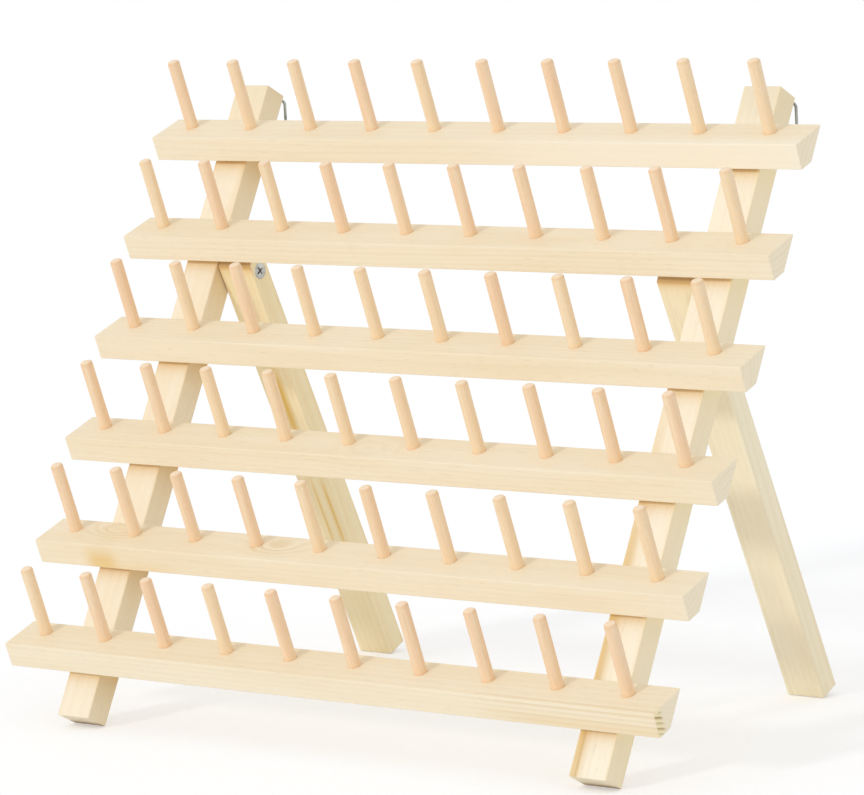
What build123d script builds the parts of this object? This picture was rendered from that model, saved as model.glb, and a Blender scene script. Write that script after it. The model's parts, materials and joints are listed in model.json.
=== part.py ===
# Wooden thread rack: six rails of pegs on two leaning uprights, two folding legs, two hanging rings.
# The origin is on the table, under the middle of the rack. X runs along the rails, -Y is the front.
import os
from math import cos, radians, sin, tan

from build123d import *

os.makedirs("parts", exist_ok=True)

# Stance, in degrees
lean = radians(29.0)  # the uprights lean back from vertical
peg_tilt = radians(18.8)  # the pegs lean forward from vertical
leg_splay = radians(23.8)  # the open legs slope back from vertical

# Rails
row_count = 6
row_spacing = 55.5  # from rail to rail, up the uprights
rail_end = 20.0  # past the end pegs, before the row's own offset
rail_width = 23.6  # across the top face
rail_thickness = 13.0
rail_edge_round = 0.6
rail_back_edge_round = 0.25  # on the sharp upper edge, against the uprights

# Pegs
peg_count = 10
peg_spacing = 40.0
peg_radius = 3.175
peg_height = 37.5  # out of the rail
peg_depth = 5.5  # in the rail
peg_tenon_radius = 2.85  # turned down where it is glued in, so that the peg stands on a small shoulder
peg_setback = 9.8  # from the rail's back edge, across the top face
peg_tip_round = 1.7
peg_foot_chamfer = 0.4
peg_row_offset = -2.7  # the drilled row sits a little left of the rail's middle

# Uprights
upright_width = 21.0
upright_depth = 14.0
upright_inset = 41.4  # from the end of the rails to the middle, before the pair's own offset
upright_offset = 2.8  # the pair stands a little right of the rails' middle
upright_above = 19.5  # past the top rail's upper edge
upright_below = 47.0  # past the lowest rail's upper edge
upright_edge_round = 0.7

# Folding legs
leg_width = 21.5
leg_thickness = 12.5
leg_edge_round = 0.6
pivot_drop = 24.6  # below the upper edge of the second rail from the top
pivot_setback = 8.6  # behind the front faces of the uprights
pivot_row = 1  # rows below the top one
stop_gap = 0.3  # between the open leg's bevelled end and the rail that it bears on

# Leg pivots, countersunk into the inner sides of the legs
pivot_radius = 2.0
pivot_bite = 14.0  # into the upright
pivot_head_radius = 4.2
pivot_point = 3.0
washer_radius = 5.2
washer_thickness = 0.5

# Rail screws, countersunk into the backs of the uprights
rail_screw_radius = 1.6
rail_screw_head_radius = 3.2
rail_screw_bite = 6.0  # into the rail
rail_screw_drop = 11.0  # below the rail's upper edge
rail_screw_point = 2.4

# Hangers on the backs of the uprights
strap_width = 9.0
strap_thickness = 1.0
strap_length = 22.5  # below the eye
strap_corner = 3.5
ring_wire_radius = 0.75
ring_width = 20.0  # between the middles of the wire's two sides
ring_height = 20.0  # from the middle of the bar to the middle of the wire's lowest point
ring_corner = 2.4
eye_drop = 1.9  # below the top of the upright
hanger_screw_drop = 15.4  # below the eye
hanger_screw_radius = 1.4
hanger_screw_bite = 9.0
hanger_head_radius = 2.6
hanger_head_height = 1.5
hanger_head_round = 0.8

# Countersunk heads, and cross recesses in the heads as shares of their radius
countersink_angle = 90
recess_length_share = 1.15
recess_width_share = 0.24
recess_depth_share = 0.36

# Clearances
glue_gap = 0.05  # round the pegs and the fixed screws
running_gap = 0.06  # round what turns
hole_end_gap = 0.5  # past the end of a screw

# Directions in the side view, and the frame of the side view itself
across_x = Vector(1, 0, 0)
up_frame = Vector(0, sin(lean), cos(lean))
out_of_back = Vector(0, cos(lean), -sin(lean))
up_peg = Vector(0, -sin(peg_tilt), cos(peg_tilt))
down_leg = Vector(0, sin(leg_splay), -cos(leg_splay))
bevel = lean + peg_tilt
fold = lean + leg_splay

# Places along the rails
rail_length = (peg_count - 1) * peg_spacing + 2 * rail_end
upright_spacing = rail_length - 2 * upright_inset  # from middle to middle

# Places along the uprights, counted up from the lowest rail's upper edge
top_row_height = (row_count - 1) * row_spacing
pivot_height = top_row_height - pivot_row * row_spacing - pivot_drop
eye_height = top_row_height + upright_above - eye_drop
eye_radius = ring_wire_radius + running_gap + strap_thickness
frame_z = upright_below * cos(lean) + upright_depth * sin(lean)


def leg_corner(back, depth):
    # Where a long face of the open leg, back from its middle, meets a depth behind the rails
    run = (depth - pivot_setback - back * cos(fold)) / sin(fold)
    return pivot_height + back * sin(fold) - run * cos(fold), -depth


leg_front_top = leg_corner(-leg_thickness / 2, stop_gap)
leg_back_top = leg_corner(leg_thickness / 2, stop_gap)
leg_front_length = (frame_z + leg_front_top[0] * cos(lean) + leg_front_top[1] * sin(lean)) / cos(leg_splay)

# The front and back reach of the rack, from the lowest rail's upper edge
front_reach = (
    peg_setback * cos(peg_tilt)
    + (peg_height - peg_tip_round) * sin(peg_tilt)
    + (peg_radius - peg_tip_round) * cos(peg_tilt)
    + peg_tip_round
)
back_reach = (
    leg_front_top[0] * sin(lean)
    - leg_front_top[1] * cos(lean)
    + leg_front_length * sin(leg_splay)
    + leg_thickness * cos(leg_splay)
)
frame_y = (front_reach - back_reach) / 2


def place(x, height, out):
    # A point at a height up the uprights and a distance out of their front faces
    y = frame_y + height * sin(lean) - out * cos(lean)
    z = frame_z + height * cos(lean) + out * sin(lean)
    return Vector(x, y, z)


def side_view(x):
    # Drawn with x up the uprights and y out of their front faces
    return Plane(origin=place(x, 0, 0), x_dir=up_frame, z_dir=across_x)


def finish(builder, name):
    builder.part.label = name
    export_step(builder.part, f"parts/{name}.step")


def row_height(row):
    return (row_count - row) * row_spacing


def peg_x(index):
    return peg_row_offset + (index - (peg_count - 1) / 2) * peg_spacing


def peg_planes(row, lift):
    # The pegs' seats on one rail, lifted along the pegs
    back_edge = place(0, row_height(row), 0)
    seat = back_edge + Vector(0, -cos(peg_tilt), -sin(peg_tilt)) * peg_setback + up_peg * lift
    return [
        Plane(origin=seat + across_x * peg_x(index), x_dir=across_x, z_dir=up_peg)
        for index in range(peg_count)
    ]


def upright_x(side):
    return upright_offset + side * upright_spacing / 2


def inner_x(side, inward):
    # A distance in from the inner face of an upright, towards the middle of the rack
    return upright_x(side) - side * (upright_width / 2 + inward)


def back_plane(side, height, depth):
    return Plane(origin=place(upright_x(side), height, -depth), x_dir=across_x, z_dir=out_of_back)


def rail_screw_heights():
    return [row_height(row) - rail_screw_drop for row in range(1, row_count + 1)]


def pivot_plane(side, inward):
    # Square to the pivot, facing out of the leg's inner side
    origin = place(inner_x(side, inward), pivot_height, -pivot_setback)
    return Plane(origin=origin, x_dir=up_frame, z_dir=across_x * -side)


def cut_cross_recesses(planes, head_radius):
    with BuildSketch(*planes) as cross:
        Rectangle(head_radius * recess_length_share, head_radius * recess_width_share)
        Rectangle(head_radius * recess_width_share, head_radius * recess_length_share)
    extrude(cross.sketch, amount=-head_radius * recess_depth_share, mode=Mode.SUBTRACT)


def add_screw(seat, head_radius, radius, point, length):
    # A countersunk screw, its head flush with the seat
    side_on = Plane(origin=seat.origin, x_dir=seat.x_dir, z_dir=seat.x_dir.cross(seat.z_dir))
    with BuildSketch(side_on) as outline:
        with BuildLine():
            Polyline(
                (0, 0),
                (head_radius, 0),
                (radius, radius - head_radius),
                (radius, point - length),
                (0, -length),
                close=True,
            )
        make_face()
    revolve(outline.sketch, axis=Axis(seat.origin, seat.z_dir))


def make_rail(row):
    # A strip with square-cut ends, its back edge ripped to lie flat on the uprights
    across = Vector(0, -cos(peg_tilt), -sin(peg_tilt))
    left_end = place(-rail_length / 2, row_height(row), 0)
    with BuildPart() as rail:
        with BuildSketch(Plane(origin=left_end, x_dir=across, z_dir=-across_x)):
            with BuildLine():
                Polyline(
                    (0, 0),
                    (rail_width, 0),
                    (rail_width, -rail_thickness),
                    (rail_thickness * tan(bevel), -rail_thickness),
                    close=True,
                )
            make_face()
        extrude(amount=-rail_length)
        long_edges = rail.edges().filter_by(Axis.X).sort_by(Axis.Z)
        fillet(long_edges[:-1], rail_edge_round)
        fillet(rail.edges().filter_by(Axis.X).sort_by(Axis.Z)[-1], rail_back_edge_round)
        with Locations(*peg_planes(row, 0)):
            Hole(peg_tenon_radius + glue_gap, peg_depth)
        with Locations(*[back_plane(side, row_height(row) - rail_screw_drop, 0) for side in (-1, 1)]):
            Hole(rail_screw_radius + glue_gap, rail_screw_bite + hole_end_gap)
    finish(rail, f"rail_{row}")


def make_pegs(row):
    # Turned pegs with rounded tips, glued into one rail
    tip_axis = Axis((0, 0, 0), up_peg)
    with BuildPart() as pegs:
        with BuildSketch(*peg_planes(row, 0)):
            Circle(peg_radius)
        extrude(amount=peg_height)
        with BuildSketch(*peg_planes(row, 0)):
            Circle(peg_tenon_radius)
        extrude(amount=-peg_depth)
        rims = pegs.edges().filter_by(GeomType.CIRCLE).group_by(tip_axis)
        fillet(rims[-1], peg_tip_round)
        rims = pegs.edges().filter_by(GeomType.CIRCLE).group_by(tip_axis)
        chamfer(rims[0], peg_foot_chamfer)
    finish(pegs, f"pegs_row_{row}")


def make_upright(side, name):
    # A square-cut bar that stands on its lower rear edge
    bar_length = upright_below + top_row_height + upright_above
    with BuildPart() as upright:
        with BuildSketch(side_view(upright_x(side) - upright_width / 2)):
            with Locations((-upright_below, -upright_depth)):
                Rectangle(bar_length, upright_depth, align=(Align.MIN, Align.MIN))
        extrude(amount=upright_width)
        fillet(upright.edges().filter_by(Axis((0, 0, 0), up_frame)), upright_edge_round)
        with Locations(*[back_plane(side, height, upright_depth) for height in rail_screw_heights()]):
            CounterSinkHole(
                rail_screw_radius + glue_gap,
                rail_screw_head_radius + glue_gap,
                upright_depth,
                countersink_angle,
            )
        with Locations(back_plane(side, eye_height - hanger_screw_drop, upright_depth)):
            Hole(hanger_screw_radius + glue_gap, hanger_screw_bite + hole_end_gap)
        with Locations(pivot_plane(side, 0)):
            Hole(pivot_radius + glue_gap, pivot_bite + hole_end_gap)
    finish(upright, f"{name}_upright")


def make_leg(side, name):
    # A bar beside the upright, its top end bevelled to bear flat on the back of a rail
    near_x = inner_x(side, washer_thickness)
    far_x = inner_x(side, washer_thickness + leg_width)
    down = (-cos(fold), -sin(fold))
    foot_front = (
        leg_front_top[0] + leg_front_length * down[0],
        leg_front_top[1] + leg_front_length * down[1],
    )
    foot_back = (foot_front[0] + leg_thickness * sin(fold), foot_front[1] - leg_thickness * cos(fold))
    with BuildPart() as leg:
        with BuildSketch(side_view(min(near_x, far_x))):
            with BuildLine():
                Polyline(leg_front_top, foot_front, foot_back, leg_back_top, close=True)
            make_face()
        extrude(amount=leg_width)
        fillet(leg.edges().filter_by(Axis((0, 0, 0), down_leg)), leg_edge_round)
        with Locations(pivot_plane(side, washer_thickness + leg_width)):
            CounterSinkHole(
                pivot_radius + running_gap,
                pivot_head_radius + running_gap,
                leg_width,
                countersink_angle,
            )
    finish(leg, f"{name}_leg")


def make_pivot_screw(side, name):
    # A countersunk screw through the leg into the upright, which the leg turns on
    seat = pivot_plane(side, washer_thickness + leg_width)
    with BuildPart() as screw:
        length = washer_thickness + leg_width + pivot_bite
        add_screw(seat, pivot_head_radius, pivot_radius, pivot_point, length)
        cut_cross_recesses([seat], pivot_head_radius)
    finish(screw, f"{name}_pivot_screw")


def make_pivot_washer(side, name):
    # A washer between the leg and the upright
    with BuildPart() as washer:
        with BuildSketch(pivot_plane(side, 0)):
            Circle(washer_radius)
            Circle(pivot_radius + running_gap, mode=Mode.SUBTRACT)
        extrude(amount=washer_thickness)
    finish(washer, f"{name}_pivot_washer")


def make_rail_screws(side, name):
    # Six countersunk wood screws, flush with the back of one upright
    length = upright_depth + rail_screw_bite
    planes = [back_plane(side, height, upright_depth) for height in rail_screw_heights()]
    with BuildPart() as screws:
        for plane in planes:
            add_screw(plane, rail_screw_head_radius, rail_screw_radius, rail_screw_point, length)
        cut_cross_recesses(planes, rail_screw_head_radius)
    finish(screws, f"{name}_rail_screws")


def make_hanger_strap(side, name):
    # A metal strap on the back of the upright, its upper end rolled into an eye for the ring
    eye = (eye_height, -upright_depth - eye_radius)
    with BuildPart() as strap:
        with BuildSketch(side_view(upright_x(side) - strap_width / 2)):
            with Locations((eye_height - strap_length, -upright_depth - strap_thickness)):
                Rectangle(strap_length, strap_thickness, align=(Align.MIN, Align.MIN))
            with Locations(eye):
                Circle(eye_radius)
                Circle(ring_wire_radius + running_gap, mode=Mode.SUBTRACT)
        extrude(amount=strap_width)
        low_edges = strap.edges().filter_by(Axis((0, 0, 0), out_of_back))
        fillet(low_edges.group_by(Axis((0, 0, 0), up_frame))[0], strap_corner)
        with Locations(back_plane(side, eye_height - hanger_screw_drop, upright_depth + strap_thickness)):
            Hole(hanger_screw_radius + glue_gap, strap_thickness)
    finish(strap, f"{name}_hanger_strap")


def make_hanger_screw(side, name):
    # A round-headed wood screw through the strap
    seat = back_plane(side, eye_height - hanger_screw_drop, upright_depth + strap_thickness)
    with BuildPart() as screw:
        with BuildSketch(seat):
            Circle(hanger_head_radius)
        extrude(amount=hanger_head_height)
        fillet(screw.faces().sort_by(Axis((0, 0, 0), out_of_back))[-1].edges(), hanger_head_round)
        with BuildSketch(seat):
            Circle(hanger_screw_radius)
        extrude(amount=-(strap_thickness + hanger_screw_bite))
        cut_cross_recesses([seat.offset(hanger_head_height)], hanger_head_radius)
    finish(screw, f"{name}_hanger_screw")


def make_hanging_ring(side, name):
    # A D of bent wire, its straight bar in the strap's eye, hanging straight down
    centre = place(upright_x(side), eye_height, -upright_depth - eye_radius)
    half = ring_width / 2
    arm_end = ring_height - half
    with BuildPart() as ring:
        with BuildLine(Plane(origin=centre, x_dir=across_x, z_dir=(0, -1, 0))) as path:
            Line((0, 0), (half - ring_corner, 0))
            JernArc((half - ring_corner, 0), (1, 0), ring_corner, -90)
            Line((half, -ring_corner), (half, -arm_end))
            JernArc((half, -arm_end), (0, -1), half, -180)
            Line((-half, -arm_end), (-half, -ring_corner))
            JernArc((-half, -ring_corner), (0, 1), ring_corner, -90)
            Line((ring_corner - half, 0), (0, 0))
        with BuildSketch(Plane(origin=centre, x_dir=(0, 1, 0), z_dir=across_x)):
            Circle(ring_wire_radius)
        sweep(path=path.wires()[0])
    finish(ring, f"{name}_hanging_ring")


for row in range(1, row_count + 1):
    make_rail(row)
    make_pegs(row)

for side, name in ((-1, "left"), (1, "right")):
    make_upright(side, name)
    make_leg(side, name)
    make_pivot_screw(side, name)
    make_pivot_washer(side, name)
    make_rail_screws(side, name)
    make_hanger_strap(side, name)
    make_hanger_screw(side, name)
    make_hanging_ring(side, name)
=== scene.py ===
import json
from math import cos, pi, radians, sin, tan

import bmesh
import bpy
from mathutils import Matrix, Vector, noise


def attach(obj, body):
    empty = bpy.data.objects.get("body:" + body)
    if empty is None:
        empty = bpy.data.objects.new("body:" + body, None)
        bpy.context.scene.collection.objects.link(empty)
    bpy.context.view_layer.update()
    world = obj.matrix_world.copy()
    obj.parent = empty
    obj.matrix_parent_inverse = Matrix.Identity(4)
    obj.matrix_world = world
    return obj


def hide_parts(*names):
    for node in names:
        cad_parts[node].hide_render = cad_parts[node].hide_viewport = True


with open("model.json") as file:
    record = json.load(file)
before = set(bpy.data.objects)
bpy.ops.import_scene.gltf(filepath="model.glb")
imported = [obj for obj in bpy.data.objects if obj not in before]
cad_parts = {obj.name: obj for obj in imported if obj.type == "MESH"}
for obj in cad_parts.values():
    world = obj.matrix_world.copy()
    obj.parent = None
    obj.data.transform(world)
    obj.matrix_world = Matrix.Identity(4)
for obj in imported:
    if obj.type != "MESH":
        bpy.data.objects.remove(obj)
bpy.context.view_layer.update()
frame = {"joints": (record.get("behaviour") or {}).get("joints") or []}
joints = {joint["name"]: Vector(joint["pos_m"]) for joint in frame["joints"]}
sides = {"left": -1, "right": 1}
print("frame loaded")

# Sizes are metres here, and angles radians
rack = {
    "lean": radians(29.0),  # the uprights, back from vertical
    "pegTilt": radians(18.8),  # the pegs, forward from vertical
    "legSplay": radians(23.8),  # the open legs, back from vertical
    "rows": 6,
    "rowSpacing": 0.0555,
    "pivotRow": 2,  # the leg pivots are measured down from this rail
    "pivotDrop": 0.0246,
    "pivotSetback": 0.0086,  # behind the front faces of the uprights
}

rail = {
    "length": 0.4,
    "width": 0.0236,
    "thickness": 0.013,
    "screwDrop": 0.011,  # below the rail's upper edge
}

peg = {
    "count": 10,
    "spacing": 0.04,
    "radius": 0.003175,
    "height": 0.0375,
    "depth": 0.0048,  # of the hole in the rail
    "clear": 0.0003,  # between the peg's foot and the bottom of the hole
    "setback": 0.0098,
    "rowOffset": -0.0027,
    "tipRound": 0.0017,
    "holeGap": 0.00009,
    "wobble": radians(0.35),
    "shortening": 0.008,  # share of the height by which some pegs are shorter
    "stations": 27,  # rings of corners from foot to tip
    "facets": 28,
}

upright = {
    "width": 0.021,
    "depth": 0.014,
    "above": 0.0195,  # past the top rail's upper edge
    "below": 0.047,  # past the lowest rail's upper edge
    "inset": 0.0414,
    "offset": 0.0028,
}

leg = {
    "width": 0.0215,
    "thickness": 0.0125,
    "stopGap": 0.0003,
    "washer": 0.0005,
}

rows = range(1, rack["rows"] + 1)  # from the top down

# Directions in the rack
alongRail = Vector((1, 0, 0))
acrossRail = Vector((0, -cos(rack["pegTilt"]), -sin(rack["pegTilt"])))
downPeg = Vector((0, sin(rack["pegTilt"]), -cos(rack["pegTilt"])))
upUpright = Vector((0, sin(rack["lean"]), cos(rack["lean"])))
outOfBack = Vector((0, cos(rack["lean"]), -sin(rack["lean"])))
upLeg = Vector((0, -sin(rack["legSplay"]), cos(rack["legSplay"])))
backOfLeg = Vector((0, cos(rack["legSplay"]), sin(rack["legSplay"])))
bevel = rack["lean"] + rack["pegTilt"]
fold = rack["lean"] + rack["legSplay"]
pivot = Vector((0, *joints["left_leg_fold"].yz))


def railEdge(row):  # the middle of a rail's upper back edge, which lies on the uprights' front faces
    climb = (rack["pivotRow"] - row) * rack["rowSpacing"] + rack["pivotDrop"]
    return pivot + upUpright * climb - outOfBack * rack["pivotSetback"]


def rowClimb(row):  # from the lowest rail up to this one
    return (rack["rows"] - row) * rack["rowSpacing"]


def uprightX(side):
    return upright["offset"] + side * (rail["length"] / 2 - upright["inset"])


def legX(side):
    return uprightX(side) - side * (upright["width"] / 2 + leg["washer"] + leg["width"] / 2)


def pegX(index):
    return peg["rowOffset"] + (index - (peg["count"] - 1) / 2) * peg["spacing"]


def placing(origin, first, second, third):  # local axes to the rack
    turn = Matrix((first, second, third)).transposed()
    return Matrix.Translation(origin) @ turn.to_4x4()


# Node trees

class Tap:
    # A socket of a tree, so that a sum on it can be written as a sum
    def __init__(self, graph, socket):
        self.graph = graph
        self.socket = socket

    def to(self, operation, *others):
        return self.graph.calc(operation, self, *others)

    def __add__(self, other):
        return self.to("ADD", other)

    def __sub__(self, other):
        return self.to("SUBTRACT", other)

    def __rsub__(self, other):
        return self.graph.calc("SUBTRACT", other, self)

    def __mul__(self, other):
        return self.to("MULTIPLY", other)

    def __truediv__(self, other):
        return self.to("DIVIDE", other)

    __radd__ = __add__
    __rmul__ = __mul__

    def fade(self):  # 1 at nought, and less and less beyond it
        return (0 - self).to("EXPONENT")

    def dot(self, direction):
        found = self.to("DOT_PRODUCT", direction)
        return Tap(self.graph, found.socket.node.outputs["Value"])

    def rise(self, low, high):  # 0 below low, 1 above high, smooth between
        ends = {"Value": self, "From Min": low, "From Max": high}
        return self.graph.add("ShaderNodeMapRange", {"interpolation_type": "SMOOTHSTEP"}, ends)

    def split(self):
        parts = self.graph.add("ShaderNodeSeparateXYZ", {}, {0: self}).socket.node
        return [Tap(self.graph, parts.outputs[axis]) for axis in "XYZ"]


class Graph:
    def __init__(self, tree):
        self.tree = tree

    def add(self, kind, settings=None, values=None, output=0):
        node = self.tree.nodes.new(kind)
        for name, setting in (settings or {}).items():
            setattr(node, name, setting)
        for name, value in (values or {}).items():
            socket = node.inputs[name]
            if isinstance(value, Tap):
                self.tree.links.new(value.socket, socket)
            elif socket.type == "VECTOR" and isinstance(value, (int, float)):
                socket.default_value = (value, value, value)
            else:
                socket.default_value = value
        return Tap(self, node.outputs[output]) if node.outputs else node

    def calc(self, operation, *terms):
        vectors = [term for term in terms if isinstance(term, Tap) and term.socket.type == "VECTOR"]
        kind = "ShaderNodeVectorMath" if vectors else "ShaderNodeMath"
        return self.add(kind, {"operation": operation}, dict(enumerate(terms)))

    def mix(self, share, first, second):
        return self.add("ShaderNodeMix", {"data_type": "RGBA"}, {0: share, 6: first, 7: second}, 2)

    def grain(self, at, detail=2.0, roughness=0.5):  # noise about one half
        values = {"Vector": at, "Scale": 1.0, "Detail": detail, "Roughness": roughness}
        return self.add("ShaderNodeTexNoise", {}, values)

    def attribute(self, name, output):
        return self.add("ShaderNodeAttribute", {"attribute_name": name}, output=output)

    def shade(self, constants, colour, roughness, relief, height):  # height in millimetres
        bump = self.add("ShaderNodeBump", {}, {"Strength": relief, "Distance": 0.001, "Height": height})
        varying = {"Base Color": colour, "Roughness": roughness, "Normal": bump}
        shader = self.add("ShaderNodeBsdfPrincipled", {}, {**constants, **varying})
        self.add("ShaderNodeOutputMaterial", {}, {"Surface": shader})


def tint(red, green, blue):  # a colour as a paint card gives it, made linear
    parts = [part / 255 for part in (red, green, blue)]
    return (*[p / 12.92 if p <= 0.04045 else ((p + 0.055) / 1.055) ** 2.4 for p in parts], 1.0)


def surface(name):
    material = bpy.data.materials.new(name)
    material.use_nodes = True
    material.node_tree.nodes.clear()
    return material, Graph(material.node_tree)


# Pine, laid out in millimetres along, across and through a board

pine = {
    "early": tint(250, 237, 210),
    "late": tint(226, 196, 143),
    "warm": tint(243, 219, 176),
    "fibre": tint(229, 207, 166),
    "canal": tint(186, 150, 100),
    "endEarly": tint(255, 243, 215),
    "endLate": tint(221, 190, 150),
    "edge": tint(250, 240, 216),
    "seedSteps": (31.7, 17.3, 11.9),
    "drift": 5.0,
    "driftScale": (0.005, 0.03, 0.03),
    "ripple": 0.9,
    "rippleScale": (0.03, 0.16, 0.16),
    "taper": 0.006,
    "fineScale": (0.02, 1.5, 1.5),
    "hairScale": (0.09, 5.5, 5.5),
    "canalScale": (0.11, 2.6, 2.6),
    "toneScale": (0.009, 0.06, 0.06),
    "ringShare": 0.12,
    "fibreShare": 0.12,
    "warmShare": 0.3,
    "canalShare": 0.15,
    "endRings": 0.18,
    "edgeShare": 0.03,
    "edgeReach": 0.8,
    "endReach": 0.3,
    # painted warm shade on the sides of the uprights, deeper just under the rails
    "side": tint(253, 235, 188),
    "sideShadeShare": 0.0,  # painted warm shade, on the two faces square to the rails
    "sideShadeBase": 0.4,  # the part of the painted side shade that is there away from a rail too
    "sideShadeUnderRail": tint(253, 235, 188),  # painted deeper side shade, just under a rail
    "sideShadeReach": 14.0,
    "bold": None,  # where the rings are stronger
    "swirls": [],  # where they swerve, as beside a knot
    "under": None,  # where rails cast a painted shadow on the wood
    # painted shadow under a rail: a dark line, then a golden half-shade band
    "underColour": tint(196, 148, 70),
    "underShare": 0.85,
    "underReach": 1.3,
    "underGlow": tint(242, 196, 112),  # painted half-shade, past the darkest line
    "railHalfShadeShare": 0.75,
    "railHalfShadeReach": 3.4,
    # painted shade on a leg's top end, under its rail
    "topEndShade": 0.0,
    # painted shade on an upright's bottom end, facing the floor
    "footEndShade": 0.0,
    "footEndShadeColour": tint(150, 104, 66),
    "streaks": [],
    "sawPitch": 2.1,
    "relief": 0.7,
    "specular": 0.3,
}


def facePlanes(near, far):  # a board's four sides and two ends: outward normals and distances in millimetres
    middle = sum(near + far, Vector()) / 8
    quads = [(near[k], near[(k + 1) % 4], far[k]) for k in range(4)]
    quads += [(near[0], near[1], near[2]), (far[0], far[1], far[2])]
    planes = []
    for a, b, c in quads:
        normal = (b - a).cross(c - a).normalized()
        if normal.dot(a - middle) < 0:
            normal = -normal
        planes.append((normal, normal.dot(a) * 1000))
    return planes


def pineMaterial(name, changes, near, far):
    look = {**pine, **changes}
    material, graph = surface(name)
    spot = graph.attribute("grainAt", "Vector") * 1000
    at = spot + tuple(look["seed"] * step for step in look["seedSteps"])
    u, v, w = spot.split()

    # Growth rings about the pith, which wander along the board and swerve in the swirls
    drift = (graph.grain(at * look["driftScale"]) - 0.5) * look["drift"]
    ripple = (graph.grain(at * look["rippleScale"]) - 0.5) * look["ripple"]
    offV = v - look["pith"][0]
    offW = w - look["pith"][1]
    reach = (offV * offV + offW * offW).to("SQRT") + drift + ripple + u * look["taper"]
    boldness, endRings = look["ringShare"], look["endRings"]
    endEarly, endLate = look["endEarly"], look["endLate"]
    for swirl in look["swirls"]:
        du = (u - swirl["along"]) / swirl["long"]
        dv = (v - swirl["across"]) / swirl["wide"]
        inside = (du * du + dv * dv).fade()
        reach = reach + inside * swirl["push"]
        boldness = boldness + inside * swirl["extra"]
    turns = reach / look["ringWidth"]
    phase = turns.to("FRACT")
    number = turns.to("FLOOR")
    each = graph.add("ShaderNodeTexWhiteNoise", {"noise_dimensions": "1D"}, {"W": number + look["seed"]})
    ring = phase.rise(0.2, 0.86) * (1 - phase.rise(0.9, 1.0)) * (0.3 + 0.7 * each)
    if look["bold"]:
        bold = look["bold"]
        there = v.rise(bold["across"] - bold["blend"], bold["across"] + bold["blend"])
        boldness = boldness + bold["extra"] * u.rise(bold["from"], bold["to"]) * there
        endRings = endRings + bold["endExtra"] * there * w.rise(1.0, 2.2)
        endEarly = graph.mix(there * 0.8, endEarly, bold["endEarly"])
        endLate = bold["endLate"]

    # Fibres, resin canals and slow changes of tone
    fine = graph.grain(at * look["fineScale"], 3.0, 0.6)
    hair = graph.grain(at * look["hairScale"], 2.0, 0.6)
    canals = graph.grain(at * look["canalScale"], 0.0).rise(0.7, 0.78)
    slow = graph.grain(at * look["toneScale"], 2.0)
    colour = graph.mix(slow.rise(0.35, 0.75) * look["warmShare"], look["early"], look["warm"])
    colour = graph.mix(ring * boldness, colour, look["late"])
    colour = graph.mix(fine.rise(0.45, 0.78) * look["fibreShare"], colour, look["fibre"])
    colour = graph.mix(hair.rise(0.5, 0.85) * look["fibreShare"] * 0.5, colour, look["fibre"])
    colour = graph.mix(canals * look["canalShare"], colour, look["canal"])
    for streak in look["streaks"]:  # lines and bands along the grain, some resin-rich; rail 5's first is a painted patch of shade
        line = v if streak["axis"] == "across" else w
        wander = (graph.grain(at * (0.02, 0.02, 0.02)) - 0.5) * streak["wander"]
        off = (line - streak["at"] + wander) / streak["width"]
        fade = streak["fade"]
        mask = (off * off).fade() * u.rise(streak["from"] - fade, streak["from"] + fade)
        mask = mask * (1 - u.rise(streak["to"] - fade, streak["to"] + fade))
        colour = graph.mix(mask * streak["share"] * (0.6 + 0.6 * fine), colour, streak["colour"])

    # Painted shadow where a rail overhangs the wood: a dark line fading through a golden half-shade
    sideShadeNearRail = 0.0
    if look["under"]:
        under = look["under"]
        climb = (u - under["from"]) / under["every"]
        below = (1 - climb.to("FRACT")) * under["every"]
        past = (below - under["flat"]).to("MAXIMUM", 0.0)
        onFace = 1 - (w - under["face"]).rise(0.3, 0.9)
        # painted shade: a golden half-shade band, and a darker line right under the rail
        glow = (past / look["railHalfShadeReach"]).fade() * look["railHalfShadeShare"] * onFace
        railShadeMask = (past / look["underReach"]).fade() * look["underShare"] * onFace
        sideShadeNearRail = (below / look["sideShadeReach"]).fade()
        colour = graph.mix(glow, colour, look["underGlow"])
        colour = graph.mix(railShadeMask, colour, look["underColour"])

    # The sides, with painted warm shade, end grain, with painted shade at the legs' tops and the uprights'
    # feet, saw lines and the rubbed edges
    sideSum, endSum = 0.0, 0.0
    for index, (normal, distance) in enumerate(facePlanes(near, far)):
        isEnd = index >= 4
        inward = (spot.dot(tuple(normal)) - distance) / look["endReach" if isEnd else "edgeReach"]
        close = inward.to("EXPONENT")
        if isEnd:
            endSum = endSum + close
        else:
            sideSum = sideSum + close
        # painted warm shade on the uprights' sides, deeper near each rail
        if look["sideShadeShare"] and not isEnd and abs(normal.y) > 0.9:
            share = close * look["sideShadeShare"]
            colour = graph.mix(share * look["sideShadeBase"], colour, look["side"])
            colour = graph.mix(share * sideShadeNearRail, colour, look["sideShadeUnderRail"])
    onEnd = endSum.rise(0.3, 0.8)
    edge = (sideSum + endSum - 1).rise(0.02, 0.9) * (0.5 + fine)
    endColour = graph.mix(ring * endRings, endEarly, endLate)
    endColour = graph.mix(hair.rise(0.45, 0.8) * 0.25, endColour, look["endLate"])
    # painted shade on a leg's top end under its rail
    if look["topEndShade"]:
        endColour = graph.mix(u.rise(0, 4) * look["topEndShade"], endColour, look["underColour"])
    # painted shade on an upright's bottom end, facing the floor
    if look["footEndShade"]:
        foot = (1 - u.rise(4, 12)) * w.rise(6, 13.5)
        endColour = graph.mix(foot * look["footEndShade"], endColour, look["footEndShadeColour"])
    colour = graph.mix(onEnd, colour, endColour)
    colour = graph.mix(edge * look["edgeShare"] * (1 - onEnd), colour, look["edge"])

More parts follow.
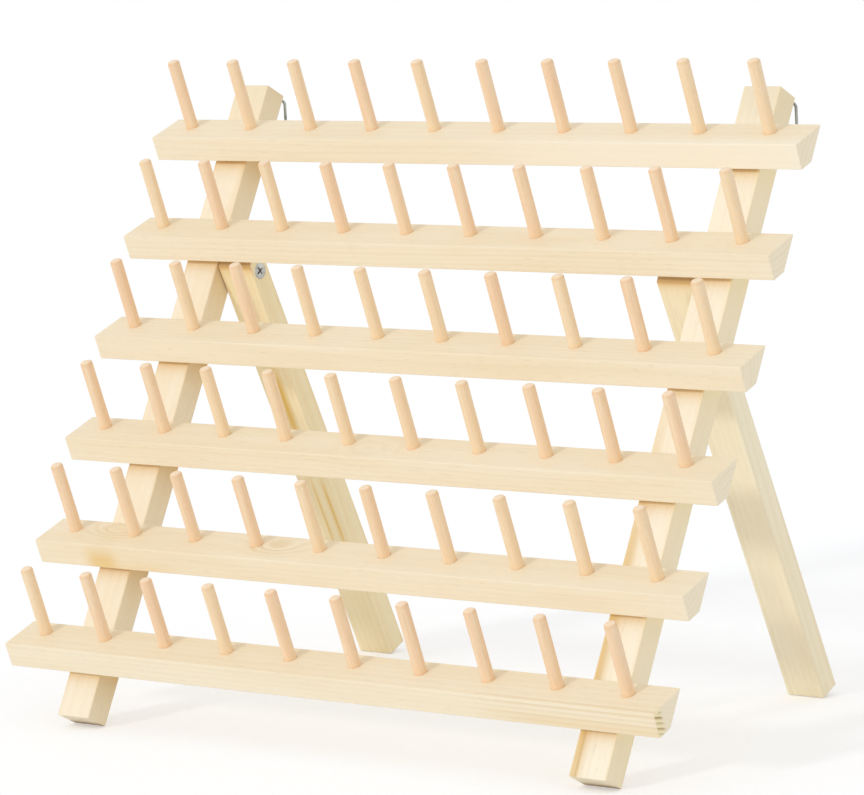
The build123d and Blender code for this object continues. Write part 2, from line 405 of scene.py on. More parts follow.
    saw = (v * look["sawPitch"] + (graph.grain(at * (0.5, 0.3, 0.3)) - 0.5) * 3.0).to("SINE")
    height = fine * 0.035 + hair * 0.02 - ring * 0.012 + onEnd * (saw * 0.02 + hair * 0.05)
    roughness = 0.5 + fine * 0.16 - ring * 0.08 + onEnd * 0.15 - edge * 0.06
    graph.shade({"Specular IOR Level": look["specular"]}, colour, roughness, look["relief"], height)
    return material


# Turned hardwood of the pegs, laid out in millimetres from each peg's foot

dowel = {
    "body": tint(250, 223, 184),
    "pink": tint(249, 212, 176),
    "pale": tint(253, 235, 204),
    "fibre": tint(229, 190, 142),
    # painted highlight on the flat top
    "tip": tint(253, 231, 204),
    # painted shade on the tip's rounded rim
    "rim": tint(232, 188, 142),
    # painted shade where the peg meets the rail
    "foot": tint(246, 200, 148),
    "pinkShare": 0.7,
    "paleShare": 0.45,
    "fibreShare": 0.35,
    "rimShadeShare": 0.35,
    "footShadeShare": 0.25,
    "seedStep": 91.0,
    "relief": 0.7,
    "specular": 0.4,
}


def dowelMaterial():
    material, graph = surface("turnedHardwood")
    spot = graph.attribute("pegAt", "Vector") * 1000
    own = graph.attribute("pegSeed", "Fac")
    at = spot + own * dowel["seedStep"]
    x, y, z = spot.split()
    slow = graph.grain(at * (0.35, 0.35, 0.02))
    fine = graph.grain(at * (1.7, 1.7, 0.05), 3.0, 0.6)
    hair = graph.grain(at * (6.0, 6.0, 0.2), 2.0)
    flecks = graph.grain(at * (3.4, 3.4, 0.3), 0.0).rise(0.68, 0.76)
    colour = graph.mix(own.rise(0.1, 0.9) * dowel["pinkShare"], dowel["body"], dowel["pink"])
    colour = graph.mix(slow.rise(0.4, 0.7) * dowel["paleShare"], colour, dowel["pale"])
    colour = graph.mix(fine.rise(0.45, 0.75) * dowel["fibreShare"], colour, dowel["fibre"])
    colour = graph.mix(flecks * dowel["fibreShare"], colour, dowel["fibre"])
    top, ease = peg["height"] * 1000, peg["tipRound"] * 1000
    # painted highlight on the flat top and painted shade on its rounded rim
    tip = z.rise(top - ease * 0.35, top - ease * 0.1)
    rim = z.rise(top - ease * 1.3, top - ease * 0.6) * (1 - tip)
    # painted shade at the foot, where the peg meets the rail
    foot = 1 - z.rise(0.2, 2.4)
    colour = graph.mix(tip * (0.5 + 0.5 * hair), colour, dowel["tip"])
    colour = graph.mix(rim * dowel["rimShadeShare"], colour, dowel["rim"])
    colour = graph.mix(foot * dowel["footShadeShare"], colour, dowel["foot"])
    height = fine * 0.02 + hair * 0.012 - flecks * 0.02
    roughness = 0.42 + fine * 0.16 + tip * 0.15
    graph.shade({"Specular IOR Level": dowel["specular"]}, colour, roughness, dowel["relief"], height)
    return material


# Plated steel

plating = {
    "zinc": {"bright": tint(206, 206, 200), "dull": tint(168, 168, 160), "stain": tint(150, 140, 116),
             "rough": 0.3, "relief": 0.5},
    "nickel": {"bright": tint(176, 178, 174), "dull": tint(132, 134, 130), "stain": tint(104, 100, 90),
               "rough": 0.26, "relief": 0.5},
}


def platedSteel(name):
    look = plating[name]
    material, graph = surface(name + "PlatedSteel")
    at = graph.add("ShaderNodeTexCoord", output="Object") * 1000
    cloud = graph.grain(at * 0.22, 3.0)
    grit = graph.grain(at * 3.2, 2.0, 0.7)
    lines = graph.grain(at * (0.4, 5.0, 5.0), 2.0)
    colour = graph.mix(cloud.rise(0.4, 0.7), look["bright"], look["dull"])
    colour = graph.mix(grit.rise(0.6, 0.8) * 0.4, colour, look["stain"])
    roughness = look["rough"] + cloud * 0.16 + grit * 0.08
    graph.shade({"Metallic": 1.0}, colour, roughness, look["relief"], grit * 0.012 + lines * 0.008)
    return material


hardwood = dowelMaterial()
zinc = platedSteel("zinc")
nickel = platedSteel("nickel")
print("finishes made")


# Pieces

def blank(name, data, material=None):
    piece = bpy.data.objects.new(name, data)
    bpy.context.scene.collection.objects.link(piece)
    if material:
        data.materials.append(material)
    return piece


def settle(piece):  # modifiers become plain mesh
    graph = bpy.context.evaluated_depsgraph_get()
    mesh = bpy.data.meshes.new_from_object(piece.evaluated_get(graph))
    piece.modifiers.clear()
    piece.data = mesh
    return mesh


def smoothen(mesh, angle):
    for face in mesh.polygons:
        face.use_smooth = True
    mesh.set_sharp_from_angle(angle=radians(angle))


def keep(piece, body, node):
    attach(piece, body)
    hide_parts(node)


def meshOf(name, shape):
    mesh = bpy.data.meshes.new(name)
    shape.to_mesh(mesh)
    return mesh


def skin(shape, rings):  # faces over a row of like rings of corners, with both ends closed
    made = [
        shape.faces.new((low[k], low[k - 1], high[k - 1], high[k]))
        for low, high in zip(rings, rings[1:]) for k in range(len(low))
    ]
    made += [shape.faces.new(rings[0]), shape.faces.new(rings[-1])]
    bmesh.ops.recalc_face_normals(shape, faces=made)


def roundArrises(shape, sharper, offset, steps):
    arrises = [edge for edge in shape.edges if edge.calc_face_angle() > radians(sharper)]
    bmesh.ops.bevel(shape, geom=arrises, offset=offset, segments=steps, profile=0.5, affect="EDGES")


def addLathed(shape, outline, steps, place=Matrix.Identity(4)):  # radii and heights, turned about Z
    rings = []
    angles = [2 * pi * step / steps for step in range(steps)]
    for radius, height in outline:
        if radius == 0:
            rings.append([shape.verts.new(place @ Vector((0, 0, height)))])
        else:
            around = [Vector((radius * cos(angle), radius * sin(angle), height)) for angle in angles]
            rings.append([shape.verts.new(place @ corner) for corner in around])
    made = []
    for low, high in zip(rings, rings[1:]):
        for step in range(steps):
            after = (step + 1) % steps
            corners = [low[step % len(low)], low[after % len(low)]]
            corners += [high[after % len(high)], high[step % len(high)]]
            made.append(shape.faces.new(list(dict.fromkeys(corners))))
    bmesh.ops.recalc_face_normals(shape, faces=made)


def cutAway(piece, shape):  # a closed shape out of a piece
    cutter = blank("cutter", meshOf("cutter", shape))
    cutting = piece.modifiers.new("cut", "BOOLEAN")
    cutting.operation = "DIFFERENCE"
    cutting.solver = "EXACT"
    cutting.object = cutter
    mesh = settle(piece)
    bpy.data.objects.remove(cutter)
    return mesh


def arc(centre, radius, start, end, steps):  # from one angle to another, in degrees
    angles = [radians(start + (end - start) * step / steps) for step in range(steps + 1)]
    return [(centre[0] + radius * cos(angle), centre[1] + radius * sin(angle)) for angle in angles]


board = {
    "cuts": 40,
    "edgeRound": 0.0006,
    "roundSteps": 3,
    "boreSteps": 28,
    "uneven": 0.00007,  # how far the planed faces wander
    "waves": 55,  # to the metre
    "ripples": 260,
    "sharp": 40,  # degrees
}


def makeBoard(name, near, far, place, look, cuts):  # cuts are lathed outlines and their places
    shape = bmesh.new()
    shares = [step / board["cuts"] for step in range(board["cuts"] + 1)]
    skin(shape, [[shape.verts.new(a.lerp(b, share)) for a, b in zip(near, far)] for share in shares])
    roundArrises(shape, board["sharp"] / 2, board["edgeRound"], board["roundSteps"])
    shape.normal_update()
    shift = Vector((look["seed"], 0, 0))
    for vert in shape.verts:
        wander = noise.noise(vert.co * board["waves"] + shift) + 0.6 * noise.noise(vert.co * board["ripples"])
        vert.co -= vert.normal * board["uneven"] * (0.6 + 0.4 * wander)
    piece = blank(name, meshOf(name, shape))
    holes = bmesh.new()
    for outline, seat in cuts:
        addLathed(holes, outline, board["boreSteps"], seat)
    mesh = cutAway(piece, holes)
    smoothen(mesh, board["sharp"])
    even = piece.modifiers.new("even", "WEIGHTED_NORMAL")
    even.keep_sharp = True
    mesh = settle(piece)
    mesh.name = name
    grainAt = mesh.attributes.new("grainAt", "FLOAT_VECTOR", "POINT")
    grainAt.data.foreach_set("vector", [part for vert in mesh.vertices for part in vert.co])
    mesh.transform(place)
    mesh.materials.clear()
    mesh.materials.append(pineMaterial(name + "Pine", look, near, far))
    return piece


# Rails

railLooks = {  # pith is the middle of the tree, across and through the board
    1: {
        "seed": 2.1,
        "pith": (-30.0, 70.0),
        "ringWidth": 2.9,
        "streaks": [
            {"axis": "across", "at": 24.0, "width": 7.0, "wander": 2.0, "from": 230, "to": 520, "fade": 60,
             "share": 0.8, "colour": tint(255, 246, 226)},
        ],
    },
    2: {"seed": 3.4, "pith": (14.0, -52.0), "ringWidth": 2.7, "ringShare": 0.16},
    3: {"seed": 4.6, "pith": (-44.0, 30.0), "ringWidth": 3.1},
    4: {
        "seed": 5.9,
        "pith": (10.0, 34.0),
        "ringWidth": 2.5,
        "swirls": [{"along": 192, "across": 13, "long": 17, "wide": 8, "push": 6.0, "extra": 0.3}],
    },
    5: {
        "seed": 7.2,
        "pith": (30.0, -40.0),
        "ringWidth": 2.8,
        "swirls": [
            {"along": 150, "across": 10, "long": 15, "wide": 8, "push": 7.0, "extra": 0.9},
            {"along": 44, "across": 8, "long": 15, "wide": 7, "push": 8.0, "extra": 1.0},
        ],
        "streaks": [
            # the first streak is a painted yellowish patch of shade on the lower front, near the left end
            {"axis": "through", "at": 9.5, "width": 6.5, "wander": 1.0, "from": 34, "to": 52, "fade": 6,
             "share": 0.85, "colour": tint(236, 200, 122)},
            {"axis": "through", "at": 12.0, "width": 4.0, "wander": 1.0, "from": 50, "to": 85, "fade": 20,
             "share": 0.4, "colour": tint(238, 205, 132)},
        ],
    },
    6: {
        "seed": 8.8,
        "pith": (50.6, 59.4),
        "ringWidth": 2.47,
        "drift": 0.8,
        "ripple": 0.4,
        "taper": 0.0008,
        "endRings": 0.05,
        "bold": {"from": 285, "to": 325, "across": 18.5, "blend": 1.5, "extra": 0.36, "endExtra": 0.9,
                 "endEarly": tint(255, 244, 196), "endLate": tint(176, 142, 78)},
        "streaks": [
            {"axis": "through", "at": 10.5, "width": 3.6, "wander": 1.5, "from": 315, "to": 420, "fade": 25,
             "share": 0.4, "colour": tint(234, 203, 142)},
        ],
    },
}


def pegSeat(row):  # the middle of a peg row, on the rail's top face
    return railEdge(row) + acrossRail * peg["setback"]


def makeRail(row):
    wide, thick = rail["width"], rail["thickness"]
    outline = [(0, 0), (wide, 0), (wide, thick), (thick * tan(bevel), thick)]
    near, far = ([Vector((u, v, w)) for v, w in outline] for u in (0, rail["length"]))
    place = placing(railEdge(row) - alongRail * rail["length"] / 2, alongRail, acrossRail, downPeg)
    hole = peg["radius"] + peg["holeGap"]
    bore = [(0, -hole), (hole, -hole), (hole, peg["depth"]), (0, peg["depth"] + hole / 2)]
    seats = [Vector((pegX(index) + rail["length"] / 2, peg["setback"], 0)) for index in range(peg["count"])]
    cuts = [(bore, Matrix.Translation(seat)) for seat in seats]
    piece = makeBoard(f"rail{row}Board", near, far, place, railLooks[row], cuts)
    keep(piece, "frame", f"rail_{row}")


for row in rows:
    makeRail(row)
print("rails made")


# Pegs, a row at a time

def treeWith(name, sockets):
    tree = bpy.data.node_groups.new(name, "GeometryNodeTree")
    for label, kind in sockets.items():
        tree.interface.new_socket(name=label, in_out="INPUT", socket_type="NodeSocket" + kind)
    tree.interface.new_socket(name="Geometry", in_out="OUTPUT", socket_type="NodeSocketGeometry")
    graph = Graph(tree)
    entry = tree.nodes.new("NodeGroupInput")
    return tree, graph, {label: Tap(graph, entry.outputs[label]) for label in sockets}


def endTree(tree, graph, copies, finish):
    copies = graph.add("GeometryNodeRealizeInstances", {}, {"Geometry": copies})
    copies = graph.add("GeometryNodeSetMaterial", {}, {"Geometry": copies, "Material": finish})
    tree.links.new(copies.socket, tree.nodes.new("NodeGroupOutput").inputs[0])
    return tree


def runTree(name, tree, values):
    piece = blank(name, bpy.data.meshes.new(name))
    modifier = piece.modifiers.new("make", "NODES")
    modifier.node_group = tree
    for item in tree.interface.items_tree:
        if item.item_type == "SOCKET" and item.in_out == "INPUT":
            modifier[item.identifier] = values[item.name]
    settle(piece).name = name
    return piece


def seatsInARow(graph, given):
    values = {"Count": given["Count"], "Start Location": given["First"], "Offset": given["Step"]}
    return graph.add("GeometryNodeMeshLine", {"mode": "OFFSET"}, values)


def chance(graph, seed, most=1.0):  # one random number for each copy
    values = {2: 0.0, 3: most, "ID": graph.add("GeometryNodeInputIndex"), "Seed": seed}
    return graph.add("FunctionNodeRandomValue", {"data_type": "FLOAT"}, values, 1)


def spanned(graph, x, y, z):  # numbers and sockets as one vector
    return graph.add("ShaderNodeCombineXYZ", {}, {"X": x, "Y": y, "Z": z})


def stored(graph, kind, domain, geometry, name, value):
    values = {"Geometry": geometry, "Name": name, "Value": value}
    return graph.add("GeometryNodeStoreNamedAttribute", {"data_type": kind, "domain": domain}, values)


def pegTree():
    lengths = ("Radius", "Height", "Sunk", "Tip Round", "Tilt", "Wobble", "Shortening")
    tree, graph, given = treeWith("pegRow", {
        "Count": "Int", "First": "Vector", "Step": "Vector", **dict.fromkeys(lengths, "Float"),
        "Seed": "Int", "Finish": "Material",
    })
    line = graph.add("GeometryNodeCurvePrimitiveLine", {}, {"Start": (0, 0, 0), "End": (0, 0, 1)})
    stations = peg["stations"]
    line = graph.add("GeometryNodeResampleCurve", {"mode": "COUNT"}, {"Curve": line, "Count": stations})
    share = graph.add("GeometryNodeInputIndex") / (stations - 1.0)
    shaft = (share * 2.0).to("MINIMUM", 1.0)
    turn = (share * 2.0 - 1.0).to("MAXIMUM", 0.0) * (pi / 2)
    straight = given["Height"] - given["Tip Round"] + given["Sunk"]
    climb = straight * shaft - given["Sunk"] + given["Tip Round"] * turn.to("SINE")
    radius = given["Radius"] - given["Tip Round"] * (1 - turn.to("COSINE"))
    spot = spanned(graph, 0, 0, climb)
    line = graph.add("GeometryNodeSetPosition", {}, {"Geometry": line, "Position": spot})
    circle = {"Resolution": peg["facets"], "Radius": 1.0}
    circle = graph.add("GeometryNodeCurvePrimitiveCircle", {"mode": "RADIUS"}, circle)
    turned = {"Curve": line, "Profile Curve": circle, "Scale": radius, "Fill Caps": True}
    turned = graph.add("GeometryNodeCurveToMesh", {}, turned)
    turned = stored(graph, "FLOAT_VECTOR", "POINT", turned, "pegAt", graph.add("GeometryNodeInputPosition"))
    turnX = given["Tilt"] - chance(graph, given["Seed"] + 1) * given["Wobble"]
    turnY = (chance(graph, given["Seed"] + 2) * 2.0 - 1.0) * given["Wobble"]
    tall = 1.0 - given["Shortening"] * (0.3 + 0.7 * chance(graph, given["Seed"] + 3))
    pegs = graph.add("GeometryNodeInstanceOnPoints", {}, {
        "Points": seatsInARow(graph, given),
        "Instance": turned,
        "Rotation": graph.add("FunctionNodeEulerToRotation", {}, {0: spanned(graph, turnX, turnY, 0)}),
        "Scale": spanned(graph, 1.0, 1.0, tall),
    })
    pegs = stored(graph, "FLOAT", "INSTANCE", pegs, "pegSeed", chance(graph, given["Seed"] + 4))
    return endTree(tree, graph, pegs, given["Finish"])


rowTree = pegTree()
for row in rows:
    pegs = runTree(f"row{row}Pegs", rowTree, {
        "Count": peg["count"],
        "First": pegSeat(row) + alongRail * pegX(0),
        "Step": alongRail * peg["spacing"],
        "Radius": peg["radius"],
        "Height": peg["height"],
        "Sunk": peg["depth"] - peg["clear"],
        "Tip Round": peg["tipRound"],
        "Tilt": rack["pegTilt"],
        "Wobble": peg["wobble"],
        "Shortening": peg["shortening"],
        "Seed": 40 + row,
        "Finish": hardwood,
    })
    smoothen(pegs.data, 50)
    keep(pegs, "frame", f"pegs_row_{row}")
print("pegs made")


# Uprights

railSeat = rail["thickness"] / cos(bevel)  # how far a rail reaches down an upright
# painted shadow under each rail on the uprights
underRails = {
    "from": (upright["below"] - railSeat) * 1000,  # the lowest line of painted shadow
    "every": rack["rowSpacing"] * 1000,
    "flat": 3.6,  # painted shadow evenly dark this far down from each line
    "face": 0.0,
}
# the uprights carry painted side shade, painted rail shadow and painted shade at their feet
uprightPine = {"sideShadeShare": 0.85, "under": underRails, "footEndShade": 0.7}
dullTop = {"axis": "across", "at": 10.0, "width": 30.0, "wander": 1.0, "from": 325, "to": 420, "fade": 20}
uprightLooks = {
    "left": {
        **uprightPine,
        "seed": 11.3,
        "pith": (26.0, 30.0),
        "ringWidth": 3.0,
        "early": tint(252, 240, 216),
        # the side colours here are painted shade on the upright's sides
        "side": tint(255, 240, 204),
        "sideShadeUnderRail": tint(212, 166, 78),
        "streaks": [{**dullTop, "share": 0.55, "colour": tint(236, 220, 182)}],
    },
    "right": {
        **uprightPine,
        "seed": 12.9,
        "pith": (-16.0, 24.0),
        "ringWidth": 2.8,
        "early": tint(254, 245, 224),
        "warmShare": 0.15,
        # the side colour here is painted shade on the upright's sides
        "side": tint(253, 230, 176),
        "streaks": [
            {**dullTop, "share": 0.8, "colour": tint(232, 218, 186)},
            {"axis": "across", "at": 1.6, "width": 4.4, "wander": 1.4, "from": -30, "to": 150, "fade": 70,
             "share": 1.0, "colour": tint(228, 193, 130)},
            {"axis": "across", "at": 3.6, "width": 0.7, "wander": 1.0, "from": -30, "to": 50, "fade": 30,
             "share": 0.6, "colour": tint(206, 168, 104)},
        ],
    },
}

railScrew = {
    "radius": 0.0016,
    "headRadius": 0.0032,
    "rim": 0.0001,
    "bite": 0.006,
    "sink": 0.0002,  # below the wood
    "pointLength": 0.0024,
    "threadFrom": 0.007,  # below the head
    "holeShort": 0.002,  # of the upright's front face
}

countersinkGap = 0.00012


def countersink(screw, deep):  # what is cut out of the wood for a screw
    flare, stem = screw["headRadius"] + countersinkGap, screw["radius"] + countersinkGap
    seat = -screw["sink"]
    return [(0, flare), (flare, flare), (flare, seat), (stem, stem - flare + seat), (stem, -deep), (0, -deep)]


def backward(spot):  # with Z out of an upright's back
    return placing(spot, -alongRail, upUpright, outOfBack)


def backPlace(side, climb, depth):  # on the middle of an upright, climb up from the lowest rail's edge
    foot = railEdge(rack["rows"]) + alongRail * uprightX(side)
    return backward(foot + upUpright * climb + outOfBack * depth)


def makeUpright(name, side):
    wide, deep = upright["width"], upright["depth"]
    length = upright["below"] + rowClimb(1) + upright["above"]
    outline = ((0, 0), (wide, 0), (wide, deep), (0, deep))
    near, far = ([Vector((u, v, w)) for v, w in outline] for u in (0, length))
    corner = railEdge(rack["rows"]) - upUpright * upright["below"] + alongRail * (uprightX(side) - wide / 2)
    place = placing(corner, upUpright, alongRail, outOfBack)
    hole = countersink(railScrew, deep - railScrew["holeShort"])
    seats = [backPlace(side, rowClimb(row) - rail["screwDrop"], deep) for row in rows]
    cuts = [(hole, place.inverted() @ seat) for seat in seats]
    piece = makeBoard(f"{name}UprightBar", near, far, place, uprightLooks[name], cuts)
    keep(piece, "frame", f"{name}_upright")


for name, side in sides.items():
    makeUpright(name, side)
print("uprights made")


# Folding legs

legFace = -leg["thickness"] / 2


def legTop(w):  # how far a leg reaches up from its pivot, at a depth in it
    return (rack["pivotSetback"] - leg["stopGap"] + w * cos(fold)) / sin(fold)


resin = {"axis": "across", "wander": 1.2, "from": -166, "to": -125, "fade": 12, "colour": tint(238, 192, 84)}
# painted shadow of the rail on each leg's front, below its top end
underRail = {"from": legTop(legFace) * 1000, "every": 1000.0, "flat": 0.0, "face": legFace * 1000}
# painted shade on the legs' top ends; the darker end colour falls on their feet too
legPine = {"under": underRail, "topEndShade": 0.7, "endEarly": tint(236, 219, 186)}
legLooks = {
    "left": {
        **legPine,
        "seed": 14.2,
        "pith": (-24.0, 20.0),
        "ringWidth": 3.4,
        "early": tint(255, 240, 200),
        "late": tint(244, 208, 146),
        "warm": tint(255, 229, 180),
        "ringShare": 0.25,
        "streaks": [
            {**resin, "at": 11.6, "width": 2.6, "wander": 1.5, "from": -98, "to": -57, "share": 1.0},
            {**resin, "at": 9.7, "width": 0.9, "share": 0.75},
            {**resin, "at": 17.0, "width": 1.2, "share": 0.85},
        ],
    },
    "right": {
        **legPine,
        "seed": 15.7,
        "pith": (40.0, 12.0),
        "ringWidth": 3.2,
        "early": tint(255, 246, 217),
        "late": tint(236, 209, 164),
        "warm": tint(254, 230, 188),
        "ringShare": 0.22,
    },
}

pivotScrew = {
    "radius": 0.002,
    "bite": 0.014,
    "headRadius": 0.0042,
    "rim": 0.0001,
    "sink": 0.0001,
    "pointLength": 0.003,
    "threadFrom": 0.0252,
    "holePast": 0.001,  # the leg's outer side
}


def makeLeg(name, side):
    wide, half = leg["width"], leg["thickness"] / 2
    foot = -(pivot.z - half * sin(rack["legSplay"])) / cos(rack["legSplay"])  # cut square, on its front edge
    corners = ((0, -half), (wide, -half), (wide, half), (0, half))
    near = [Vector((foot, v, w)) for v, w in corners]
    far = [Vector((legTop(w), v, w)) for v, w in corners]
    place = placing(pivot + alongRail * (legX(side) - wide / 2), upLeg, alongRail, backOfLeg)
    inner = Vector((0, wide * (1 - side) / 2, 0))
    seat = placing(inner, Vector((0, 0, 1)), Vector((-side, 0, 0)), Vector((0, -side, 0)))
    cuts = [(countersink(pivotScrew, wide + pivotScrew["holePast"]), seat)]
    piece = makeBoard(f"{name}LegBar", near, far, place, legLooks[name], cuts)
    keep(piece, f"{name}_leg", f"{name}_leg")


for name, side in sides.items():
    makeLeg(name, side)
print("legs made")


# Screws with cross recesses and threads

recess = {"length": 1.15, "width": 0.24, "depth": 0.36, "taper": 0.55}  # shares of the head's radius

thread = {
    "perTurn": 14,
    "pitch": 0.75,  # this and the next two are shares of the shank's radius
    "core": 0.8,
    "root": 0.82,
    "crest": 0.16,  # share of the pitch by which it stands past the shank
    "crestMore": 0.00022,
    "least": 0.00004,
    "halfBase": 0.3,  # share of the pitch
    "start": 0.0006,  # over which the shank narrows to its core
    "runOut": 0.0004,
    "thinning": 3.0,  # turns that get thinner towards the point
    "tip": 0.35,
}


def crossShape(radius, top):
    half, narrow = radius * recess["length"] / 2, radius * recess["width"] / 2
    outline = []
    for turn in range(4):
        spin = Matrix.Rotation(turn * pi / 2, 3, "Z")
        outline += [spin @ Vector((x, y, 0)) for x, y in ((half, -narrow), (half, narrow), (narrow, narrow))]
    shape = bmesh.new()
    levels = ((top + radius / 2, 1.0), (top, 1.0), (top - radius * recess["depth"], recess["taper"]))
    rings = [[Vector((p.x * share, p.y * share, z)) for p in outline] for z, share in levels]
    skin(shape, [[shape.verts.new(corner) for corner in around] for around in rings])
    return shape


def addThread(shape, radius, start, end):  # a three-sided ridge wound down the shank
    pitch, perTurn = radius * thread["pitch"], thread["perTurn"]
    crest = radius * (1 - thread["root"]) + pitch * thread["crest"] + thread["crestMore"]
    base = thread["halfBase"] * pitch
    count = int((start - end) / pitch * perTurn)
    rings = []
    for step in range(count + 1):
        angle = 2 * pi * step / perTurn
        z = start - pitch * step / perTurn
        fade = min(1.0, step / perTurn, (count - step) / perTurn)
        narrowing = min(1.0, (z - end) / (thread["thinning"] * pitch) + thread["tip"])
        inner = radius * thread["root"] * narrowing
        points = ((inner, base), (inner + crest * fade * narrowing + thread["least"], 0), (inner, -base))
        corners = [Vector((r * cos(angle), r * sin(angle), z + lift)) for r, lift in points]
        rings.append([shape.verts.new(corner) for corner in corners])
    skin(shape, rings)


def screwSource(name, head, top, size, below, threadFrom, material):  # Z out of its head
    shank, core = size["radius"], size["radius"] * thread["core"]
    outline = head + [(shank, threadFrom), (core, threadFrom - thread["start"])]
    outline += [(core, size["pointLength"] - below), (0, -below)]
    shape = bmesh.new()
    addLathed(shape, outline, 32)
    piece = blank(name, meshOf(name, shape))
    mesh = cutAway(piece, crossShape(size["headRadius"], top))
    threaded = bmesh.new()
    threaded.from_mesh(mesh)
    addThread(threaded, shank, threadFrom - thread["runOut"], thread["runOut"] - below)
    threaded.to_mesh(mesh)
    smoothen(mesh, 35)
    mesh.materials.clear()
    mesh.materials.append(material)
    return piece


def flatHead(name, size, below):
    head, shank, sink, rim = size["headRadius"], size["radius"], size["sink"], size["rim"]
    outline = [(0, -sink), (head - rim, -sink), (head, -sink - rim), (shank, shank - head - sink - rim)]
    return screwSource(name, outline, -sink, size, below, -size["threadFrom"], zinc)


def roundHead(name, size, below):
    head, tall, ease = size["headRadius"], size["headHeight"], size["headRound"]
    outline = [(0, tall), (head * 0.35, tall - 0.00005)]
    outline += arc((head - ease, tall - ease - 0.0001), ease, 90, 0, 6)
    outline += [(head, 0.0002), (head - 0.0002, 0), (size["radius"], 0)]
    return screwSource(name, outline, tall, size, below, size["bite"] * 0.8 - below, nickel)


def copyTree():
    tree, graph, given = treeWith("copiesInARow", {
        "Source": "Object", "Count": "Int", "First": "Vector", "Step": "Vector", "Turn": "Vector",
        "Seed": "Int", "Finish": "Material",
    })
    source = {"Object": given["Source"]}
    source = graph.add("GeometryNodeObjectInfo", {"transform_space": "ORIGINAL"}, source, "Geometry")
    copies = graph.add("GeometryNodeInstanceOnPoints", {}, {
        "Points": seatsInARow(graph, given),
        "Instance": source,
        "Rotation": graph.add("FunctionNodeEulerToRotation", {}, {0: given["Turn"]}),
    })
    spin = spanned(graph, 0, 0, chance(graph, given["Seed"], 2 * pi))
    spin = graph.add("FunctionNodeEulerToRotation", {}, {0: spin})
    copies = {"Instances": copies, "Rotation": spin, "Local Space": True}
    return endTree(tree, graph, graph.add("GeometryNodeRotateInstances", {}, copies), given["Finish"])


rowOfCopies = copyTree()


def copiesInARow(name, source, count, step, place, seed, material):
    return runTree(name, rowOfCopies, {
        "Source": source,
        "Count": count,
        "First": place.translation,
        "Step": step,
        "Turn": Vector(place.to_euler()),
        "Seed": seed,
        "Finish": material,
    })


def fitBothSides(source, label, seatOf, node, seed, count=1, step=Vector()):
    for name, side in sides.items():
        piece = copiesInARow(name + label, source, count, step, seatOf(side), seed + side, zinc)
        keep(piece, "frame", f"{name}_{node}")
    bpy.data.objects.remove(source)


def lowestScrewSeat(side):
    return backPlace(side, -rail["screwDrop"], upright["depth"])


def pivotPlace(side, inward=0.0):  # on the pivot's line, inward from the upright, with Z inward too
    spot = pivot + alongRail * (uprightX(side) - side * (upright["width"] / 2 + inward))
    return placing(spot, upUpright, outOfBack * side, alongRail * -side)


def pivotScrewSeat(side):
    return pivotPlace(side, leg["washer"] + leg["width"])


washer = {"outer": 0.0052, "inner": 0.00206, "ease": 0.00012}


def washerSource():
    inner, outer, thick, ease = washer["inner"], washer["outer"], leg["washer"], washer["ease"]
    outline = [(inner + ease, 0), (outer - ease, 0), (outer, ease), (outer, thick - ease)]
    outline += [(outer - ease, thick), (inner + ease, thick), (inner, thick - ease), (inner, ease)]
    outline += [(inner + ease, 0)]
    shape = bmesh.new()
    addLathed(shape, outline, 40)
    bmesh.ops.remove_doubles(shape, verts=shape.verts, dist=1e-7)
    bmesh.ops.recalc_face_normals(shape, faces=shape.faces)
    mesh = meshOf("washerBlank", shape)
    smoothen(mesh, 50)
    return blank("washerBlank", mesh, zinc)


rowStep = upUpright * rack["rowSpacing"]
railBlank = flatHead("flatHeadScrew", railScrew, upright["depth"] + railScrew["bite"])
pivotBlank = flatHead("pivotScrewBlank", pivotScrew, leg["washer"] + leg["width"] + pivotScrew["bite"])
fitBothSides(railBlank, "RailScrews", lowestScrewSeat, "rail_screws", 60, rack["rows"], rowStep)
fitBothSides(pivotBlank, "PivotScrew", pivotScrewSeat, "pivot_screw", 70)
fitBothSides(washerSource(), "PivotWasher", pivotPlace, "pivot_washer", 80)
print("screws and washers made")


# Hangers on the backs of the uprights

strap = {
    "width": 0.009,
    "thickness": 0.001,
    "length": 0.0225,  # below the eye
    "corner": 0.0035,
    "curl": 318,  # degrees round the wire
    "ease": 0.00015,
    "cornerSteps": 8,
    "curlSteps": 24,
}

ring = {
    "wire": 0.00075,
    "gap": 0.00006,
    "width": 0.02,
    "height": 0.02,
    "corner": 0.0024,
    "seam": 0.00025,
    "facets": 16,
}

hangerScrew = {
    "radius": 0.0014,
    "bite": 0.009,
    "headRadius": 0.0026,
    "headHeight": 0.0015,
    "headRound": 0.0008,
    "pointLength": 0.0022,
    "drop": 0.0154,  # below the eye
}


def eyeAt(side):
    return joints["left_ring_swing" if side < 0 else "right_ring_swing"]


